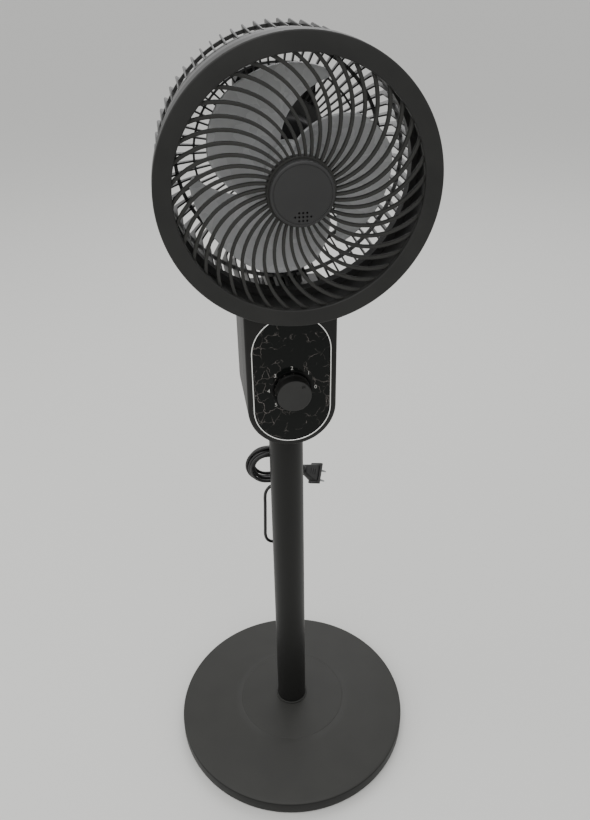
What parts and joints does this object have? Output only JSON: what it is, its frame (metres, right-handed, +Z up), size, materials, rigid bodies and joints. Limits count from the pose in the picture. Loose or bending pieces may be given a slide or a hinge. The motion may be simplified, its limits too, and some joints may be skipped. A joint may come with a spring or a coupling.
{
  "type": "oscillating fan",
  "caption": "Small oscillating pedestal fan: round foot, tube column, control housing with knob, and a tilting head with swirl grille, finned rear guard and a hanging coiled mains lead.",
  "frame": {"origin": "on the floor, under the middle of the round foot and on the axis about which the head oscillates", "axes": "+Z up; the fan blows towards -Y; +X is on the right for a viewer who faces the fan"},
  "size_m": [0.32, 0.32, 0.932],
  "materials": {
    "charcoal_plastic": "satin charcoal",
    "satin_base": "satin dark grey",
    "inner_black": "matt black",
    "panel_gloss": "gloss black, marbled",
    "trim_silver": "bright silver",
    "blade_smoke": "translucent smoke",
    "zinc_steel": "zinc plated",
    "dark_steel": "oiled laminations",
    "cast_weight": "as cast",
    "bronze": "sintered bronze",
    "painted_tube": "satin charcoal paint",
    "soft_rubber": "matt black",
    "cord_black": "satin black",
    "gear_white": "natural acetal"
  },
  "bodies": {
    "stand": {"base_cover": "satin_base", "base_weight": "cast_weight", "base_underplate": "inner_black", "foot_1": "soft_rubber", "foot_2": "soft_rubber", "foot_3": "soft_rubber", "foot_4": "soft_rubber", "base_bolt": "zinc_steel", "column_plug": "zinc_steel", "column_tube": "painted_tube", "column_collar": "charcoal_plastic", "housing_front": "charcoal_plastic", "housing_rear": "charcoal_plastic", "housing_screw_1": "zinc_steel", "housing_screw_2": "zinc_steel", "housing_screw_3": "zinc_steel", "housing_screw_4": "zinc_steel", "control_panel": "panel_gloss", "panel_trim": "trim_silver", "rotary_switch": "inner_black", "gear_plate": "zinc_steel", "osc_motor": "dark_steel", "neck_bushing": "bronze", "cord_gland": "soft_rubber", "cord_lead": "cord_black", "cord_coil": "cord_black", "cord_tail": "cord_black", "cord_tie": "soft_rubber", "plug_body": "cord_black", "plug_pin_left": "zinc_steel", "plug_pin_right": "zinc_steel"},
    "knob": {"knob": "charcoal_plastic", "switch_shaft": "gear_white"},
    "pinion": {"osc_pinion": "gear_white"},
    "neck": {"neck": "charcoal_plastic", "neck_gear": "gear_white", "neck_ring": "zinc_steel", "tilt_pin": "zinc_steel", "tilt_nut": "zinc_steel", "friction_washer_left": "inner_black", "friction_washer_right": "inner_black"},
    "head": {"pod_front": "inner_black", "pod_rear": "charcoal_plastic", "guard_band": "charcoal_plastic", "rear_guard": "charcoal_plastic", "front_grille": "charcoal_plastic", "front_ring": "charcoal_plastic", "hub_cap": "charcoal_plastic", "motor_front_cover": "inner_black", "motor_rear_cover": "inner_black", "stator_core": "dark_steel", "bearing_front": "zinc_steel", "bearing_rear": "zinc_steel", "motor_screw_1": "zinc_steel", "motor_screw_2": "zinc_steel"},
    "impeller": {"impeller": "blade_smoke", "impeller_nut": "inner_black", "motor_shaft": "zinc_steel", "rotor": "zinc_steel"}
  },
  "joints": [
    {"name": "oscillate", "type": "hinge", "parent": "stand", "child": "neck", "pos_m": [0, 0, 0.66], "axis": [0, 0, 1], "range_deg": [-45, 45]},
    {"name": "tilt", "type": "hinge", "parent": "neck", "child": "head", "pos_m": [0, 0.02, 0.702], "axis": [-1, 0, 0], "range_deg": [-10, 30]},
    {"name": "impeller_spin", "type": "hinge", "parent": "head", "child": "impeller", "pos_m": [0, -0.05, 0.813], "axis": [0, 1, 0], "continuous": true},
    {"name": "knob_turn", "type": "hinge", "parent": "stand", "child": "knob", "pos_m": [0, -0.06, 0.5895], "axis": [0, -1, 0], "range_deg": [-45, 180]},
    {"name": "pinion_spin", "type": "hinge", "parent": "stand", "child": "pinion", "pos_m": [0, -0.024, 0.636], "axis": [0, 0, 1], "range_deg": [-140, 140]}
  ],
  "couplings": [
    {"joint": "pinion_spin", "follows": "oscillate", "ratio": -3}
  ]
}
